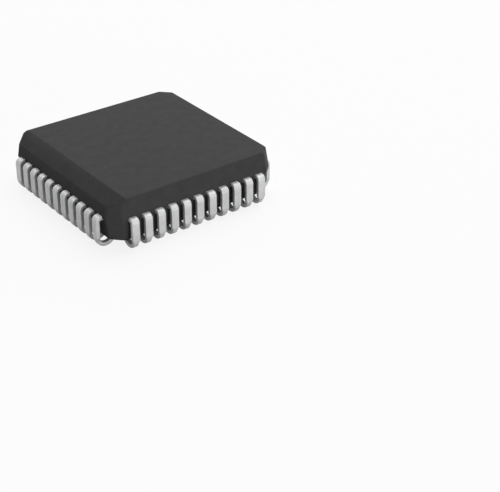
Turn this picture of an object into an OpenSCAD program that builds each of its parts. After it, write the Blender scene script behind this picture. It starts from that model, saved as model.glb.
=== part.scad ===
// Plastic leaded chip carrier with 44 J-shaped leads, eleven on each side.
// +Z is up. The origin is the centre of the seating plane, which the hooks of the leads touch.
// The bevelled side faces -X. Pin 1 is the middle lead of that side, and pins count up
// anticlockwise as seen from above.

/* [Leads] */
// Distance between the middles of neighbouring leads
pitch = 1.27; // [1.1:0.01:1.6]
// Width of a lead above its hook
lead_w = 0.72; // [0.6:0.01:0.85]
// Width of a lead round its hook
foot_w = 0.45; // [0.33:0.01:0.58]
// Thickness of the lead frame sheet
lead_t = 0.36; // [0.25:0.01:0.42]
// Straight run of a lead between the body and its shoulder bend
stub = 0.13; // [0.02:0.01:0.3]
// Inner radius of the shoulder bend
bend_r = 0.08; // [0.05:0.01:0.3]
// Inner radius of the hook
hook_r = 0.59; // [0.5:0.01:0.8]
// Height above the seating plane at which a lead starts to narrow into its hook
taper_z = 1; // [0.8:0.01:1.3]
// Height over which a lead narrows into its hook
taper_h = 0.4; // [0.2:0.01:0.7]
// Clearance between the tip of a hook and the underside of the body
tip_gap = 0.07; // [0.03:0.01:0.2]

/* [Body] */
// Distance from the middle of the last lead in a row to the side of the body
end_margin = 1.905; // [1.6:0.005:2.3]
// Height of the upper half, from the parting line to the top face
upper_h = 1.85; // [1.4:0.01:2.2]
// Depth of the lower half, from the parting line to the underside
lower_h = 2.17; // [1.7:0.01:2.5]
// Gap between the seating plane and the underside
standoff = 0.55; // [0.51:0.01:0.7]
// How far the top face stands in from the parting line on each plain side
top_inset = 0.25; // [0.1:0.005:0.6]
// Width of the ledge under the upper half at the parting line
ledge = 0.08; // [0.02:0.01:0.25]
// How far the lower half draws in from the ledge to its base bevel
bottom_inset = 0.225; // [0.05:0.005:0.4]
// Width and height of the bevel round the underside
base_bevel = 0.35; // [0.1:0.01:0.5]
// Leg of the 45 degree cut on each upright corner, at the parting line
corner_cut = 0.97; // [0.6:0.01:1.35]
// How much shorter that leg is at the top face and at the base bevel
cut_loss = 0.1; // [0:0.01:0.3]
// How much further the top face stands in on the pin 1 side
bevel_run = 1.29; // [0.6:0.01:2]
// Height of the bevel on the pin 1 side
bevel_drop = 0.7; // [0.4:0.01:1.1]

/* [Inside] */
// Width of the square die
die_w = 5; // [3.5:0.1:6]
// Thickness of the die
die_h = 0.4; // [0.25:0.01:0.5]
// Thickness of the adhesive under the die
attach_h = 0.03; // [0.02:0.005:0.06]
// Rim of the die pad that shows round the die
pad_margin = 1; // [0.5:0.05:1.2]
// Clearance between the die pad and the lead tips
tip_clear = 0.7; // [0.3:0.05:0.9]
// Width of a lead at its inner tip
tip_w = 0.36; // [0.2:0.01:0.42]
// Distance from the last inner tip of a row to the corner of the square that the tips end on
tip_margin = 0.9; // [0.7:0.05:1.2]
// Straight run of a lead inside the wall, before it turns to the die
inner_run = 0.8; // [0.4:0.05:1]
// Width of the bars that tie the die pad to the corners
tie_w = 0.3; // [0.2:0.01:0.36]
// Moulding left between the end of a tie bar and the corner
tie_cover = 0.6; // [0.3:0.05:1]
// Thickness of a bond wire
wire_t = 0.03; // [0.025:0.005:0.05]
// Rise of a bond wire over the straight line between its ends
wire_rise = 0.25; // [0.15:0.01:0.35]
// Length of the flat foot at each end of a bond wire
wire_foot = 0.08; // [0.05:0.01:0.12]
// Distance of the bonds in from the edges of the die and of the lead tips
bond_inset = 0.2; // [0.15:0.01:0.3]

/* [Hidden] */
$fn = 64;
row_count = 11;
lead_count = 4 * row_count;
row_mid = (row_count - 1) / 2;

// Levels
parting_z = standoff + lower_h;
top_z = parting_z + upper_h;
bevel_z = top_z - bevel_drop;
base_z = standoff + base_bevel;
tip_z = standoff - tip_gap;
lead_top_z = parting_z + lead_t / 2;
die_z = lead_top_z + attach_h;
die_top_z = die_z + die_h;

// Half widths of the body
body_half = row_mid * pitch + end_margin;
top_half = body_half - top_inset;
lower_half = body_half - ledge;
base_half = lower_half - bottom_inset;
under_half = base_half - base_bevel;
bevel_half = body_half - top_inset * (upper_h - bevel_drop) / upper_h;

// Places along a lead, measured outwards from the middle of the package
shoulder_at = body_half + stub;
leg_at = shoulder_at + bend_r;
row_at = leg_at + lead_t;
hook_out_r = hook_r + lead_t;
hook_at = row_at - hook_out_r;
shoulder_z = parting_z - lead_t / 2 - bend_r;

// Places inside the body
turn_at = body_half - inner_run;
pad_half = die_w / 2 + pad_margin;
tip_at = pad_half + tip_clear;
tip_pitch = (tip_at - tip_margin) / row_mid;
bond_pitch = (die_w / 2 - 2 * bond_inset) / row_mid;
corner_at = (2 * body_half - corner_cut) / sqrt(2);
end_cut = corner_cut - cut_loss;

// The lower half runs up inside the upper half by this much, on the slope of its sides
knit = 0.1;
knit_z = parting_z + knit;

// Half width of the lower half, and the leg of its corner cuts, at a level on the slope of its sides
function lower_half_at(z) = lower_half - bottom_inset * (parting_z - z) / (parting_z - base_z);
function lower_cut_at(z) = corner_cut - cut_loss * (parting_z - z) / (parting_z - base_z);

wire_steps = 6;
pin_1_turn = 180;
body_colour = [0.23, 0.23, 0.24];
metal_colour = [0.74, 0.74, 0.73];

function lead_name(pin) = str("lead_", pin < 10 ? "0" : "", pin);

// Pins 40 to 44 and 1 to 6 share the bevelled side, so its row starts row_mid pins before pin 1
function slot(pin) = (pin - 1 + row_mid) % lead_count;
function place_in_row(pin) = slot(pin) % row_count - row_mid;
function side_turn(pin) = pin_1_turn + 90 * floor(slot(pin) / row_count);

// A bar across the package with a sloped pair of sides, half0 wide at z0 and half1 at z1
module sloped_bar(turn, half0, half1, z0, z1) {
    rotate([90, 0, turn])
        linear_extrude(6 * body_half, center = true)
            polygon([[-half0, z0], [half0, z0], [half1, z1], [-half1, z1]]);
}

// A square block with drafted sides, half0 at z0 and half1 at z1, and equal cuts on its upright corners,
// whose leg is leg0 at z0 and leg1 at z1
module drafted_block(half0, half1, leg0, leg1, z0, z1) {
    diagonal0 = (2 * half0 - leg0) / sqrt(2);
    diagonal1 = (2 * half1 - leg1) / sqrt(2);
    intersection() {
        sloped_bar(0, half0, half1, z0, z1);
        sloped_bar(90, half0, half1, z0, z1);
        sloped_bar(45, diagonal0, diagonal1, z0, z1);
        sloped_bar(135, diagonal0, diagonal1, z0, z1);
    }
}

// The lower half: its drafted block, where the slope of the bevel round the underside leaves it
module bevelled_base() {
    rise = knit_z - standoff;
    intersection() {
        drafted_block(lower_half_at(standoff), lower_half_at(knit_z),
            lower_cut_at(standoff), lower_cut_at(knit_z), standoff, knit_z);
        drafted_block(under_half, under_half + rise, end_cut, end_cut, standoff, knit_z);
    }
}

// The wedge that the bevel takes off the pin 1 side, its slope carried on past both its edges
module pin_1_wedge() {
    fold = [-bevel_half, bevel_z];
    edge = [bevel_run - top_half, top_z];
    slope = edge - fold;
    low = fold - slope;
    high = edge + slope;
    rotate([90, 0, 0])
        linear_extrude(3 * body_half, center = true)
            polygon([low, high, [low[0], high[1]]]);
}

// The flat inner part of a lead: a straight run in the wall, then a finger that fans in to the die
module lead_strip(pin) {
    place = place_in_row(pin);
    out = place * pitch;
    tip = place * tip_pitch;
    rotate(side_turn(pin))
        translate([0, 0, parting_z - lead_t / 2])
            linear_extrude(lead_t)
                polygon([
                    [shoulder_at, out - lead_w / 2],
                    [shoulder_at, out + lead_w / 2],
                    [turn_at, out + lead_w / 2],
                    [tip_at, tip + tip_w / 2],
                    [tip_at, tip - tip_w / 2],
                    [turn_at, out - lead_w / 2]
                ]);
}

// Side view of the formed outer part of a lead, outwards along x and up along y: a rounded block
// with its hollow taken out, which leaves the flat run, the shoulder, the leg and the hook, whose tip
// ends level under the body
module lead_profile() {
    hook = [hook_at, hook_out_r];
    shoulder = [shoulder_at, shoulder_z];
    past = 2 * hook_out_r;
    difference() {
        union() {
            translate([turn_at, shoulder_z])
                square([shoulder_at - turn_at, lead_top_z - shoulder_z]);
            translate(shoulder)
                circle(bend_r + lead_t);
            translate(hook)
                square([hook_out_r, shoulder_z - hook_out_r]);
            translate(hook)
                circle(hook_out_r);
        }
        translate(shoulder)
            circle(bend_r);
        translate([shoulder_at - past, shoulder_z - bend_r])
            square([past, 2 * bend_r]);
        translate([leg_at - past, hook_out_r])
            square([past, shoulder_z - hook_out_r]);
        translate(hook)
            circle(hook_r);
        translate([hook_at - past, tip_z])
            square([past, past]);
    }
}

// Front view of a lead: wide above the taper and narrow below it
module lead_outline() {
    polygon([
        [-lead_w / 2, parting_z + lead_t],
        [-lead_w / 2, taper_z],
        [-foot_w / 2, taper_z - taper_h],
        [-foot_w / 2, -lead_t],
        [foot_w / 2, -lead_t],
        [foot_w / 2, taper_z - taper_h],
        [lead_w / 2, taper_z],
        [lead_w / 2, parting_z + lead_t]
    ]);
}

// The formed outer part of a lead, facing +X: its side view and front view, where both hold
module lead_form() {
    intersection() {
        rotate([90, 0, 0])
            linear_extrude(2 * lead_w, center = true)
                lead_profile();
        rotate([90, 0, 90])
            linear_extrude(2 * row_at)
                lead_outline();
    }
}

// Bond wire of one pin: a flat foot on the die, an arch, and a flat foot on the lead.
// The hollow that it leaves in the moulding has roots, which carry its feet down into the die and the lead.
module wire(pin, root) {
    place = place_in_row(pin);
    start = [die_w / 2 - bond_inset, place * bond_pitch];
    end = [tip_at + bond_inset, place * tip_pitch];
    run = norm(end - start);
    span = run - 2 * wire_foot;
    drop = die_top_z - lead_top_z;
    arch = [for (step = [0 : wire_steps])
        let (t = step / wire_steps)
            [wire_foot + span * t, die_top_z - drop * t + 4 * wire_rise * t * (1 - t)]];
    plain = concat([[0, die_top_z]], arch, [[run, lead_top_z]]);
    rooted = concat(
        [[0, die_top_z - root], [wire_foot, die_top_z - root]],
        arch,
        [[run - wire_foot, lead_top_z - root], [run, lead_top_z - root]]
    );
    under = root > 0 ? rooted : plain;
    over = [for (i = [len(plain) - 1 : -1 : 0]) plain[i] + [0, wire_t]];
    rotate(side_turn(pin))
        translate([start[0], start[1], 0])
            rotate([90, 0, atan2(end[1] - start[1], end[0] - start[0])])
                linear_extrude(wire_t, center = true)
                    polygon(concat(under, over));
}

module die_pad() {
    color(metal_colour)
        translate([0, 0, parting_z - lead_t / 2])
            linear_extrude(lead_t)
                union() {
                    square(2 * pad_half, center = true);
                    for (turn = [45, 135])
                        rotate(turn)
                            square([2 * (corner_at - tie_cover), tie_w], center = true);
                }
}

module die_attach() {
    color([0.82, 0.8, 0.72])
        translate([-die_w / 2, -die_w / 2, lead_top_z])
            cube([die_w, die_w, attach_h]);
}

module die() {
    color([0.42, 0.44, 0.5])
        translate([-die_w / 2, -die_w / 2, die_z])
            cube([die_w, die_w, die_h]);
}

module bond_wires(root = 0) {
    color([0.85, 0.68, 0.3])
        for (pin = [1 : lead_count])
            wire(pin, root);
}

module lead(pin) {
    color(metal_colour)
        union() {
            lead_strip(pin);
            rotate(side_turn(pin))
                translate([0, place_in_row(pin) * pitch, 0])
                    lead_form();
        }
}

// One moulding round everything inside, fitted to it face to face
module mould_body() {
    color(body_colour)
        difference() {
            union() {
                difference() {
                    drafted_block(body_half, top_half, corner_cut, end_cut, parting_z, top_z);
                    pin_1_wedge();
                }
                bevelled_base();
            }
            die_pad();
            die_attach();
            die();
            bond_wires(knit);
            for (pin = [1 : lead_count])
                lead_strip(pin);
        }
}

mould_body();
die_pad();
die_attach();
die();
bond_wires();
for (pin = [1 : lead_count])
    lead(pin);
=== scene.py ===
import bpy
import numpy as np
from mathutils import Matrix, Vector


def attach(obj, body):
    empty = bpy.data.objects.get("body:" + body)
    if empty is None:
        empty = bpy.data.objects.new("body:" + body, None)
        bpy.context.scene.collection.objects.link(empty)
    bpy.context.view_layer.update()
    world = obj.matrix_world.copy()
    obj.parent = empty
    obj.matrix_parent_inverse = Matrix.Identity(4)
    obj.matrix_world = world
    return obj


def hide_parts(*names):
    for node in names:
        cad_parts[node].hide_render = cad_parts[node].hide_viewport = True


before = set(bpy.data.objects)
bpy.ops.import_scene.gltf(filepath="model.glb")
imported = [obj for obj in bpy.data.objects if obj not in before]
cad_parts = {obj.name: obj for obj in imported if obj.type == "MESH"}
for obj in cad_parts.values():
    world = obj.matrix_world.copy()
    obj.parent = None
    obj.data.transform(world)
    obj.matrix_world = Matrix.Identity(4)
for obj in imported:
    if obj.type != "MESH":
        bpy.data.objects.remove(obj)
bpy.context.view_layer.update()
mm = 0.001       # metres
tiny = 1e-20     # keeps a length of zero from being divided by
print("frame loaded:", len(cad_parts), "solids")


def linear(hexColour):
    # sRGB hex to linear rgba: each channel over 255, then the sRGB curve undone
    c = np.array([int(hexColour[i:i + 2], 16) for i in (1, 3, 5)]) / 255
    return (*np.where(c <= 0.04045, c / 12.92, ((c + 0.055) / 1.055) ** 2.4).tolist(), 1.0)


def addNode(tree, kind, settings=None, links=None, stops=()):
    # settings: socket or property to value; links: socket to the output that feeds it, each socket by its name
    # or its number; stops: position and hex colour of each stop of a ramp
    node = tree.nodes.new(kind)
    for name, value in (settings or {}).items():
        if isinstance(name, int) or name in node.inputs:
            node.inputs[name].default_value = value
        else:
            setattr(node, name, value)
    for name, source in (links or {}).items():
        tree.links.new(source, node.inputs[name])
    for k, (position, hexColour) in enumerate(stops):
        stop = node.color_ramp.elements[k]
        stop.position, stop.color = position, linear(hexColour)
    return node


def newMaterial(name):
    # a material with an empty node tree
    material = bpy.data.materials.new(name)
    material.use_nodes = True
    material.node_tree.nodes.clear()
    return material, material.node_tree


# Moulding compound: epoxy filled with silica, moulded in a spark-eroded cavity.
# To the eye: dark neutral grey, an even fine grain, a soft sheen and almost no gloss.
epoxy = dict(
    name="moulded_epoxy",
    pale="#424243", dark="#3e3e3f",
    patch=0.9, patchDetail=3.0,         # mm across a patch of richer filler
    darkAt=0.35, paleAt=0.65,           # noise at which each colour is full
    grain=0.11, grainDetail=2.0,        # mm; the mould's own grain is about 0.03, drawn coarser so that it shows
    depth=0.004,                        # mm from the crests to the pits of the grain
    roughLow=0.56, roughHigh=0.68,
    shader={"IOR": 1.5, "Specular IOR Level": 0.04},        # the eroded skin scatters nearly all of its shine
)

# Matte tin electroplated on copper alloy strip, stamped and bent.
# To the eye: pale satin grey, a fine crystalline grain, softly bright along the bends.
tin = dict(
    name="matte_tin_plating",
    pale="#cacacb", dark="#bebfbf",
    patch=0.6, patchDetail=2.0,         # mm across a duller patch
    darkAt=0.3, paleAt=0.7,
    grain=0.09, grainDetail=2.0,        # mm; plated crystals are near 0.01, drawn coarser so that they show
    depth=0.0025,                       # mm of relief in the grain
    roughLow=0.57, roughHigh=0.68,
    shader={"Metallic": 1.0},
)


def grainedFinish(finish):
    # a wide noise moves the colour between dark and pale, a fine one sets the roughness and lifts the surface
    material, tree = newMaterial(finish["name"])
    place = addNode(tree, "ShaderNodeTexCoord").outputs["Object"]
    patch, grain = (
        addNode(tree, "ShaderNodeTexNoise",
                {"Scale": 1 / (finish[size] * mm), "Detail": finish[detail]}, {"Vector": place}).outputs["Fac"]
        for size, detail in (("patch", "patchDetail"), ("grain", "grainDetail"))
    )
    colour = addNode(tree, "ShaderNodeValToRGB", links={"Fac": patch}, stops=(
        (finish["darkAt"], finish["dark"]), (finish["paleAt"], finish["pale"]))).outputs["Color"]
    rough = addNode(tree, "ShaderNodeMapRange", {"To Min": finish["roughLow"], "To Max": finish["roughHigh"]},
                    {"Value": grain}).outputs["Result"]
    bump = addNode(tree, "ShaderNodeBump", {"Distance": finish["depth"] * mm}, {"Height": grain}).outputs["Normal"]
    shader = addNode(tree, "ShaderNodeBsdfPrincipled", finish["shader"],
                     {"Base Color": colour, "Roughness": rough, "Normal": bump})
    addNode(tree, "ShaderNodeOutputMaterial", links={"Surface": shader.outputs["BSDF"]})
    return material


def areaNormals(points, faces):
    # a point's normal is the sum of its faces' area vectors, so wide flats stay flat
    # and only the narrow rounded edges turn
    normals = np.zeros_like(points)
    for size in {len(f) for f in faces}:
        ring = np.array([f for f in faces if len(f) == size])
        corner = points[ring]
        area = np.cross(corner, np.roll(corner, -1, axis=1)).sum(1) / 2
        for k in range(size):
            np.add.at(normals, ring[:, k], area)
    return normals / np.maximum(np.linalg.norm(normals, axis=1, keepdims=True), tiny)


def tubeFaces(rows, columns):
    # quads of a grid closed round its columns, and one face over each end
    i, j = np.meshgrid(np.arange(rows - 1), np.arange(columns), indexing="ij")
    a, b = i * columns + j, i * columns + (j + 1) % columns
    quads = np.stack([a, b, b + columns, a + columns], -1).reshape(-1, 4)
    first = np.arange(columns)[::-1]
    last = np.arange(columns) + (rows - 1) * columns
    return quads.tolist() + [first.tolist(), last.tolist()]


def makePiece(name, points, faces, material, slot, *nodes):
    # points in mm in the part's frame; the mesh holds them in metres
    mesh = bpy.data.meshes.new(name)
    mesh.from_pydata((points * mm).tolist(), [], faces)
    mesh.polygons.foreach_set("use_smooth", np.ones(len(faces), bool))
    mesh.normals_split_custom_set_from_vertices(areaNormals(points, faces).tolist())
    mesh.materials.append(material)
    piece = bpy.data.objects.new(name, mesh)
    bpy.context.scene.collection.objects.link(piece)
    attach(piece, "root")
    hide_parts(*nodes)
    return piece


# Body sizes in mm. A pair is half the width across the flats, and the height where the body has it.
body = dict(
    under=(7.60, 0.55), base=(7.95, 0.90), ledge=(8.175, 2.72), parting=(8.255, 2.72), top=(8.005, 4.57),
    cut=0.97,            # leg of the cut on each upright corner, at the parting line
    cutLoss=0.10,        # how much shorter that leg is at the top face and at the base bevel
    bevelTop=6.715,      # where the pin 1 bevel meets the top face
    bevelDrop=0.70,      # height of that bevel
    topRound=0.13, topSteps=9,
    foldRound=0.02,
    foldRows=(0.02, 0.05, 0.10),        # rows above and below the fold of the bevel, by their distance from it
    wallRows=(3.20, 4.20, 4.36),        # heights of the other rows of the wall
    cornerRound=0.14, cornerSteps=5,
    cornerShare=0.45,                   # most of a side that the rounding of one corner may take
    lowRound=0.07, ledgeRound=0.021,
    # bends of the lower half: points out and up from the bend's corner, in parts of its rounding
    underBend=((-1.0, 0.0), (-0.3, 0.1), (0.2, 0.35), (0.8, 0.8)),
    baseBend=((-0.8, -0.8), (-0.2, -0.1), (0.05, 0.45), (0.16, 1.2)),
    ledgeBend=((-0.2, -2.0), (0.0, -0.5), (0.5, 0.0)),
    partingBend=((-0.7, 0.0), (-0.2, 0.25), (0.0, 0.9)),
)


def bodyProfile():
    # half widths and heights from the underside up: straight runs, a short bend at each corner,
    # and at the top an arc that turns from the drafted wall to the flat face
    b, r = body, body["topRound"]
    (wide, partingZ), (topWide, topZ) = b["parting"], b["top"]
    bends = (("under", "lowRound"), ("base", "lowRound"), ("ledge", "ledgeRound"), ("parting", "ledgeRound"))
    low = np.concatenate([np.array(b[at]) + np.array(b[at + "Bend"]) * b[size] for at, size in bends])
    foldZ, apart = topZ - b["bevelDrop"], np.array(b["foldRows"])
    wallZ = np.sort(np.concatenate([b["wallRows"], foldZ - apart, [foldZ], foldZ + apart]))
    wall = np.stack([wide - (wide - topWide) * (wallZ - partingZ) / (topZ - partingZ), wallZ], -1)
    lean = np.arctan2(wide - topWide, topZ - partingZ)
    centre = topWide - r * (1 - np.sin(lean)) / np.cos(lean)
    turn = np.linspace(lean, np.pi / 2, b["topSteps"])
    top = np.stack([centre + r * np.cos(turn), topZ - r + r * np.sin(turn)], -1)
    return np.concatenate([low, wall, top])


def bodyLeft(half, height):
    # distance from the middle to the pin 1 side: the drafted wall, or the sloped bevel where that is
    # nearer, eased at the fold, with an arc where the bevel turns into the top face
    b, r, soft = body, body["topRound"], body["foldRound"]
    (wide, partingZ), (topWide, topZ) = b["parting"], b["top"]
    foldX = wide - (wide - topWide) * (topZ - b["bevelDrop"] - partingZ) / (topZ - partingZ)
    slope = (foldX - b["bevelTop"]) / b["bevelDrop"]
    plane = b["bevelTop"] + (topZ - height) * slope
    eased = -soft * np.logaddexp(-half / soft, -plane / soft)
    lift = np.arctan(slope)      # the bevel's own normal stands this far above level
    centre = b["bevelTop"] - r * (1 - np.sin(lift)) / np.cos(lift)
    sine = np.clip((height - topZ + r) / r, -1, 1)
    arc = centre + r * np.sqrt(1 - sine ** 2)
    return np.minimum(np.where(sine > np.sin(lift), arc, eased), half)


def mouldBody(material):
    # a square with cut corners is carried up the profile; the cut is longest at the parting line, at each height
    # the left side is drawn in to the bevel, and each corner is eased by a curve from edge to edge with the corner
    # as its control point
    half, height = bodyProfile().T
    left = bodyLeft(half, height)
    cut = body["cut"] - np.interp(height, [body[k][1] for k in ("base", "parting", "top")],
                                  [body["cutLoss"], 0, body["cutLoss"]])
    nearX = np.maximum(-left, cut - half)               # the two ends of the left hand cuts
    nearY = np.minimum(half, 2 * half - cut - left)
    outline = ((-left, -nearY), (nearX, -half), (half - cut, -half), (half, cut - half),
               (half, half - cut), (half - cut, half), (nearX, half), (-left, nearY))
    corner = np.array(outline).transpose(2, 0, 1)       # by height, by corner, x and y
    before, after = np.roll(corner, 1, 1) - corner, np.roll(corner, -1, 1) - corner
    lenBefore, lenAfter = (np.linalg.norm(side, axis=-1, keepdims=True) for side in (before, after))
    reach = np.minimum(body["cornerRound"], body["cornerShare"] * np.minimum(lenBefore, lenAfter))
    start = corner + before / np.maximum(lenBefore, tiny) * reach
    end = corner + after / np.maximum(lenAfter, tiny) * reach
    start, control, end = (p[:, :, None] for p in (start, corner, end))
    t = np.linspace(0, 1, body["cornerSteps"])[:, None]
    ring = start * (1 - t) ** 2 + 2 * control * t * (1 - t) + end * t ** 2
    rows, columns = len(half), len(outline) * body["cornerSteps"]
    level = np.broadcast_to(height[:, None, None], (rows, columns, 1))
    points = np.concatenate([ring.reshape(rows, columns, 2), level], -1).reshape(-1, 3)
    return makePiece("mouldBody", points, tubeFaces(rows, columns), material, "mould", "mould_body")


# Lead sizes in mm. Places along a lead are measured outwards from the middle of the package.
lead = dict(
    count=44, perSide=11, pitch=1.27,
    width=0.72, foot=0.45, thick=0.36,
    edge=0.08, leastEdge=0.004,         # rounding along the strip, and what is left of it at the ends
    tipAt=4.2, tipPitch=0.66, tipWidth=0.36, tipRound=0.02,     # inner end of the finger
    turnAt=7.455,                       # where the finger starts to fan in
    fingerAbove=2.2,                    # only what lies higher than this fans in
    shoulderAt=8.385, bendRadius=0.08, level=2.72,
    hookRadius=0.59, tipLevel=0.48,     # inside of the hook, and the height at which it ends
    taperLow=0.60, taperHigh=1.00,
    hookRound=0.064, hookInset=(0.0, 0.12, 0.5, 1.0),   # rounding of the hook's end, and its parts in the last rows
    hookEnd=(4.2, 3.1, 1.4, 0.0),       # degrees before the end at which those rows lie
    hookSteps=34, hookFree=6,           # even rows before them, which stop this many degrees early
    bendSteps=11, sectionSteps=4,
    rowGap=0.02,                        # rows this close to where the flat run changes
    legTop=0.04, legRow=1.6,            # rows of the leg: below the shoulder, and at a height
    taperRows=(0.05, 0.012, -0.012),    # and above and below the start of the taper
)


def leadPath():
    # middle line of a lead as out, height and the angle of its outer side: the flat run at 90 degrees,
    # the shoulder from 90 to 0, the leg at 0, and the hook from 0 round past the bottom to the level of its tip;
    # inset is how far the section shrinks at the rounded ends, and late runs from 0 at the bottom of the hook
    # to 1 at its tip
    d, half = lead, lead["thick"] / 2
    bendMid, hookMid, outer = d["bendRadius"] + half, d["hookRadius"] + half, d["hookRadius"] + d["thick"]
    legAt, bendZ = d["shoulderAt"] + bendMid, d["level"] - bendMid
    tipTurn = 180 - np.degrees(np.arcsin((outer - d["tipLevel"]) / hookMid))
    flatOut = np.array([d["tipAt"], d["tipAt"] + d["tipRound"], d["turnAt"] - d["rowGap"],
                        d["turnAt"] + d["rowGap"], d["shoulderAt"] - d["rowGap"]])
    bend = np.radians(np.linspace(90, 0, d["bendSteps"]))
    legZ = np.concatenate([[bendZ - d["legTop"], d["legRow"]], d["taperHigh"] + np.array(d["taperRows"])])
    hook = np.radians(-np.concatenate([np.linspace(0, tipTurn - d["hookFree"], d["hookSteps"]),
                                       tipTurn - np.array(d["hookEnd"])]))
    flat, leg = np.ones(len(flatOut)), np.ones(len(legZ))
    out = np.concatenate([flatOut, d["shoulderAt"] + bendMid * np.cos(bend),
                          legAt * leg, legAt - hookMid + hookMid * np.cos(hook)])
    height = np.concatenate([d["level"] * flat, bendZ + bendMid * np.sin(bend),
                             legZ, outer + hookMid * np.sin(hook)])
    facing = np.concatenate([np.pi / 2 * flat, bend, 0 * leg, hook])
    inset = np.zeros(len(out))
    inset[0] = d["tipRound"]
    inset[-len(d["hookInset"]):] = np.array(d["hookInset"]) * d["hookRound"]
    late = np.clip((np.degrees(-facing) - 90) / (tipTurn - 90), 0, 1)
    return out, height, facing, inset, late


def leadSection():
    # round the section: across from -1 to 1, through the sheet from -1 to 1, and the turn of each rounded corner
    steps = lead["sectionSteps"] + 1
    quarter = np.radians([0, 90, 180, 270])
    angle = (quarter[:, None] + np.radians(np.linspace(0, 90, steps))).ravel()
    across, through = np.repeat([[1, 1], [-1, 1], [-1, -1], [1, -1]], steps, axis=0).T
    return across, through, np.cos(angle), np.sin(angle)


def jLead(pin, material):
    # the rounded section is carried along the J path; past the bottom of the hook each layer of the sheet is turned
    # on round the hook until all end at the level of the tip; the width at each point follows that point's height,
    # wide above the taper and narrow below it, and inside the body it fans in to the die; q is outwards, u along
    # the row of leads
    d = lead
    middleOfSide = d["perSide"] // 2
    side, place = divmod((pin - 1 + middleOfSide) % d["count"], d["perSide"])      # pin 1 is the middle of its side
    place -= middleOfSide
    out, height, facing, inset, late = (run[:, None] for run in leadPath())
    across, through, cosine, sine = leadSection()
    edge = np.maximum(d["edge"] - inset, d["leastEdge"])
    rise = through * (d["thick"] / 2 - inset - edge) + edge * sine
    q, z = out + rise * np.cos(facing), height + rise * np.sin(facing)
    outer = d["hookRadius"] + d["thick"]
    hookAt = d["shoulderAt"] + d["bendRadius"] - d["hookRadius"]
    dq, dz = q - hookAt, z - outer
    drop = outer - d["tipLevel"]
    reach = np.arcsin(np.clip(drop / np.hypot(dq, dz), -1, 1))
    more = late * (np.arcsin(drop / (outer - d["thick"] / 2)) - reach)
    q, z = hookAt + dq * np.cos(more) + dz * np.sin(more), outer + dz * np.cos(more) - dq * np.sin(more)
    width = np.interp(z, [d["taperLow"], d["taperHigh"]], [d["foot"] / 2, d["width"] / 2])
    inward = np.clip((d["turnAt"] - q) / (d["turnAt"] - d["tipAt"]), 0, 1) * (z > d["fingerAbove"])
    width = width + inward * (d["tipWidth"] / 2 - width)
    middle = place * (d["pitch"] + inward * (d["tipPitch"] - d["pitch"]))
    u = middle + across * (width - inset - edge) + edge * cosine
    turn = np.radians(180 + 90 * side)
    x, y = q * np.cos(turn) - u * np.sin(turn), q * np.sin(turn) + u * np.cos(turn)
    faces = tubeFaces(*x.shape)
    points = np.stack([x, y, z], -1).reshape(-1, 3)
    return makePiece(f"jLead{pin:02d}", points, faces, material, "lead", f"lead_{pin:02d}")


tinPlating = grainedFinish(tin)
mouldBody(grainedFinish(epoxy))
leads = [jLead(pin, tinPlating) for pin in range(1, lead["count"] + 1)]
print("pieces made: the body and", len(leads), "leads")


# Inside the body, out of sight. Each keeps its solid and gets the look of what it is: name, pale and dark colour,
# metallic, roughness, and mm across a speck. The specks are one noise, and specks says where each colour is full.
inside = dict(
    die_pad=("copper_alloy_sheet", "#b98a63", "#a67a57", 1.0, 0.42, 0.25),      # rolled strip: warm, satin
    die_attach=("silver_filled_epoxy", "#c9c6bd", "#b3b0a6", 0.4, 0.6, 0.12),   # cured paste: pale, dull
    die=("polished_silicon", "#4c515c", "#5d6470", 0.6, 0.2, 0.4),              # wafer: dark grey, bright
    bond_wires=("drawn_gold_wire", "#d9a94a", "#c99a3d", 1.0, 0.25, 0.05),      # fine wire: yellow, bright
)
specks = dict(detail=2.0, darkAt=0.35, paleAt=0.65)
for node, (name, pale, dark, metallic, rough, speck) in inside.items():
    material, tree = newMaterial(name)
    place = addNode(tree, "ShaderNodeTexCoord").outputs["Object"]
    noise = addNode(tree, "ShaderNodeTexNoise", {"Scale": 1 / (speck * mm), "Detail": specks["detail"]},
                    {"Vector": place}).outputs["Fac"]
    colour = addNode(tree, "ShaderNodeValToRGB", links={"Fac": noise},
                     stops=((specks["darkAt"], dark), (specks["paleAt"], pale))).outputs["Color"]
    shader = addNode(tree, "ShaderNodeBsdfPrincipled", {"Metallic": metallic, "Roughness": rough},
                     {"Base Color": colour})
    addNode(tree, "ShaderNodeOutputMaterial", links={"Surface": shader.outputs["BSDF"]})
    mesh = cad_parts[node].data
    mesh.materials.clear()
    mesh.materials.append(material)
print("inner parts finished:", ", ".join(inside))


def whiteWhereSeen(tree, plain, white, seenShare, mirroredShare):
    # mixes a share of white into plain for the camera's rays, and another for mirror and see-through rays; the rays
    # that only carry light keep plain
    path = addNode(tree, "ShaderNodeLightPath").outputs
    shares = {"Is Camera Ray": seenShare, "Is Glossy Ray": mirroredShare, "Is Transmission Ray": mirroredShare}
    seen, mirrored, through = (
        addNode(tree, "ShaderNodeMath", {"operation": "MULTIPLY", 1: share}, {0: path[ray]}).outputs[0]
        for ray, share in shares.items()
    )
    for other in (mirrored, through):
        seen = addNode(tree, "ShaderNodeMath", {"operation": "MAXIMUM"}, {0: seen, 1: other}).outputs[0]
    return addNode(tree, "ShaderNodeMixShader", links={"Fac": seen, 1: plain, 2: white}).outputs["Shader"]


# Floor: a smooth board painted white, matte and even. Part of its white is there for the rays that look at it,
# so that it reads as a plain white ground and still keeps the chip's shadow. Mirror rays get a smaller part, so that
# the shade under the chip darkens the sides of the hooks.
floorSheet = dict(half=1.6, colour="#f8f8f7", seenShare=0.86, mirroredShare=0.2)      # half its side, in metres
plainWhite = linear("#ffffff")


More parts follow.
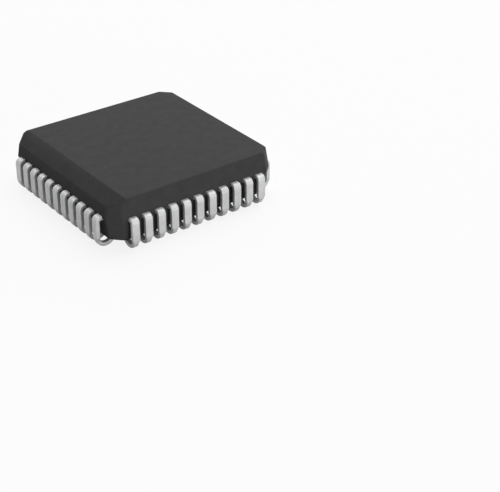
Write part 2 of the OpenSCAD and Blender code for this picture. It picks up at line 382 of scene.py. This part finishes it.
def paleFloor():
    # clear from below, so that the underside can be looked at
    material, tree = newMaterial("white_painted_board")
    board = addNode(tree, "ShaderNodeBsdfDiffuse", {"Color": linear(floorSheet["colour"])}).outputs["BSDF"]
    white = addNode(tree, "ShaderNodeEmission", {"Color": plainWhite, "Strength": 1.0}).outputs["Emission"]
    board = whiteWhereSeen(tree, board, white, floorSheet["seenShare"], floorSheet["mirroredShare"])
    clear = addNode(tree, "ShaderNodeBsdfTransparent").outputs["BSDF"]
    below = addNode(tree, "ShaderNodeNewGeometry").outputs["Backfacing"]
    sheet = addNode(tree, "ShaderNodeMixShader", links={"Fac": below, 1: board, 2: clear}).outputs["Shader"]
    addNode(tree, "ShaderNodeOutputMaterial", links={"Surface": sheet})
    return material


far = floorSheet["half"]
floorMesh = bpy.data.meshes.new("floor")
floorMesh.from_pydata([(-far, -far, 0), (far, -far, 0), (far, far, 0), (-far, far, 0)], [], [(0, 1, 2, 3)])
floorMesh.materials.append(paleFloor())
floor = bpy.data.objects.new("floor", floorMesh)
bpy.context.scene.collection.objects.link(floor)

# Room: a weak even light all round, and a pale backdrop for the rays that look at it.
room = dict(fill=0.12, white=1.0, seenShare=0.75, mirroredShare=0.75)
world = bpy.data.worlds.new("room")
world.use_nodes = True
tree = world.node_tree
tree.nodes.clear()
even, white = (
    addNode(tree, "ShaderNodeBackground", {"Color": plainWhite, "Strength": strength}).outputs["Background"]
    for strength in (room["fill"], room["white"])
)
backdrop = whiteWhereSeen(tree, even, white, room["seenShare"], room["mirroredShare"])
addNode(tree, "ShaderNodeOutputWorld", links={"Surface": backdrop})
bpy.context.scene.world = world

# Softboxes: place and size in metres, power in watts. Both face the chip: the key stands high behind the right hand
# side and leaves the pin 1 side in shade, and the low one in front fills the row of leads that faces it.
softboxes = dict(
    key=((0.54, 0.33, 0.78), 1.7, 18.0),
    front=((-0.04, -0.95, 0.04), 0.35, 5.9),
)
aim = Vector((0, 0, 2 * mm))     # middle of the chip
for name, (where, size, watts) in softboxes.items():
    lamp = bpy.data.lights.new(name, "AREA")
    lamp.shape, lamp.size, lamp.energy = "SQUARE", size, watts
    holder = bpy.data.objects.new(name, lamp)
    holder.location = where
    holder.rotation_euler = (aim - Vector(where)).to_track_quat("-Z", "Y").to_euler()
    bpy.context.scene.collection.objects.link(holder)
print("floor, room and", len(softboxes), "softboxes set")

# Camera: its place in mm, the directions of its right and up sides, lens and sensor in mm, and the nearest and
# farthest that it sees in metres
view = dict(
    place=(-57.279, -91.861, 57.037), right=(0.79974, -0.60034, 0.0), up=(0.30242, 0.40286, 0.86385),
    lens=99.833, sensor=36, nearest=0.005, farthest=10,
)
camera = bpy.data.objects.new("camera", bpy.data.cameras.new("camera"))
right, up = Vector(view["right"]).normalized(), Vector(view["up"]).normalized()
turned = Matrix((right, up, right.cross(up))).transposed().to_4x4()
camera.matrix_world = Matrix.Translation(Vector(view["place"]) * mm) @ turned
camera.data.lens, camera.data.sensor_width = view["lens"], view["sensor"]
camera.data.clip_start, camera.data.clip_end = view["nearest"], view["farthest"]
bpy.context.scene.collection.objects.link(camera)
bpy.context.scene.camera = camera
bpy.context.scene.view_settings.view_transform = "Standard"
print("camera placed")
